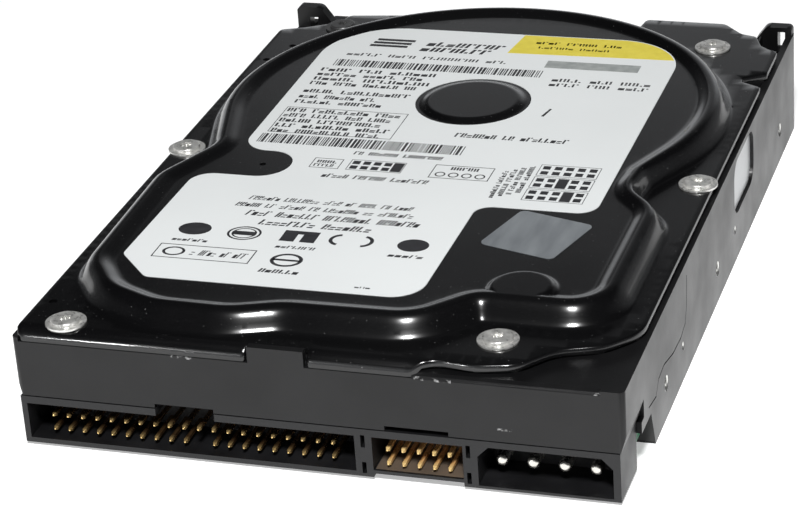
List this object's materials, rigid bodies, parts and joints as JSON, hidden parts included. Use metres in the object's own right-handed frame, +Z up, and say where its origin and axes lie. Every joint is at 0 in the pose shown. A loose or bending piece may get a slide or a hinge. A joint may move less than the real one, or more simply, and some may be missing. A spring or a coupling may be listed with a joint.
{
  "type": "hard disk drive",
  "caption": "Flat box-shaped desktop disk drive with a cast base, raised pressed cover with paper label, and pin connectors along one short end.",
  "frame": {"origin": "middle of the underside of the whole drive", "axes": "+X across the width to the right seen from above with the connectors towards the viewer, +Y from the connector end to the rear end, +Z up through the cover"},
  "size_m": [0.1016, 0.1471, 0.0254],
  "materials": {
    "cast_black": "black e-coated casting",
    "gloss_black": "gloss black paint over pressed steel",
    "gasket_foam": "matt",
    "screw_steel": "bright zinc",
    "label_paper": "coated paper",
    "foil": "brushed foil",
    "filter_felt": "felt",
    "housing_plastic": "moulded black",
    "gold_pin": "gold plated",
    "tin_pin": "tin plated",
    "board_green": "solder mask",
    "board_foam": "foam",
    "chip_epoxy": "epoxy",
    "crystal_can": "satin",
    "passive_ceramic": "matt",
    "contact_spring": "plated",
    "plug_plastic": "moulded",
    "shaft_steel": "ground",
    "stator_iron": "laminated",
    "copper": "enamelled copper",
    "plate_nickel": "nickel plated",
    "magnet_nickel": "nickel plated",
    "bracket_plastic": "moulded",
    "flex_amber": "polyimide",
    "stop_rubber": "matt",
    "hub_aluminium": "machined",
    "platter_mirror": "polished",
    "arm_aluminium": "machined",
    "resin": "moulded",
    "spring_steel": "thin stainless",
    "slider_ceramic": "polished",
    "latch_plastic": "moulded",
    "brass_weight": "turned"
  },
  "bodies": {
    "base": {"base_casting": "cast_black", "top_cover": "gloss_black", "cover_gasket": "gasket_foam", "cover_screws": "screw_steel", "pivot_screw": "screw_steel", "label": "label_paper", "seal_sticker": "foil", "side_port_foil": "foil", "breather_filter": "filter_felt", "connector_housing": "housing_plastic", "ide_pins": "gold_pin", "jumper_pins": "gold_pin", "power_pins": "tin_pin", "pcb": "board_green", "pcb_insulator": "board_foam", "controller_chip": "chip_epoxy", "motor_driver_chip": "chip_epoxy", "memory_chip": "chip_epoxy", "flash_rom": "chip_epoxy", "crystal": "crystal_can", "smd_passives": "passive_ceramic", "motor_contacts": "contact_spring", "head_connector": "plug_plastic", "pcb_screws": "screw_steel", "spindle_shaft": "shaft_steel", "stator_core": "stator_iron", "stator_coils": "copper", "bearing_inner_races": "shaft_steel", "vcm_lower_plate": "plate_nickel", "vcm_upper_plate": "plate_nickel", "lower_magnet": "magnet_nickel", "upper_magnet": "magnet_nickel", "plate_standoffs": "plate_nickel", "plate_screws": "screw_steel", "pivot_shaft": "shaft_steel", "flex_bracket": "bracket_plastic", "flex_ribbon": "flex_amber", "crash_stops": "stop_rubber", "latch_pin": "shaft_steel", "recirculation_filter": "filter_felt"},
    "spindle": {"motor_hub": "hub_aluminium", "rotor_magnet": "magnet_nickel", "lower_platter": "platter_mirror", "upper_platter": "platter_mirror", "platter_spacer": "hub_aluminium", "platter_clamp": "hub_aluminium", "clamp_screws": "screw_steel", "spindle_outer_races": "shaft_steel", "spindle_balls": "shaft_steel"},
    "actuator": {"actuator_block": "arm_aluminium", "pivot_outer_races": "shaft_steel", "pivot_balls": "shaft_steel", "voice_coil": "copper", "coil_overmould": "resin", "suspensions": "spring_steel", "sliders": "slider_ceramic", "preamp_chip": "chip_epoxy", "actuator_flex": "flex_amber"},
    "latch": {"latch_arm": "latch_plastic", "latch_weight": "brass_weight"}
  },
  "joints": [
    {"name": "spindle_spin", "type": "hinge", "parent": "base", "child": "spindle", "pos_m": [0, 0.0206, 0.01], "axis": [0, 0, 1], "continuous": true},
    {"name": "actuator_swing", "type": "hinge", "parent": "base", "child": "actuator", "pos_m": [0.026, -0.031, 0.01], "axis": [0, 0, 1], "range_deg": [-31, 0]},
    {"name": "latch_swing", "type": "hinge", "parent": "base", "child": "latch", "pos_m": [-0.004, -0.052, 0.013], "axis": [0, 0, 1], "range_deg": [-8, 8]}
  ]
}
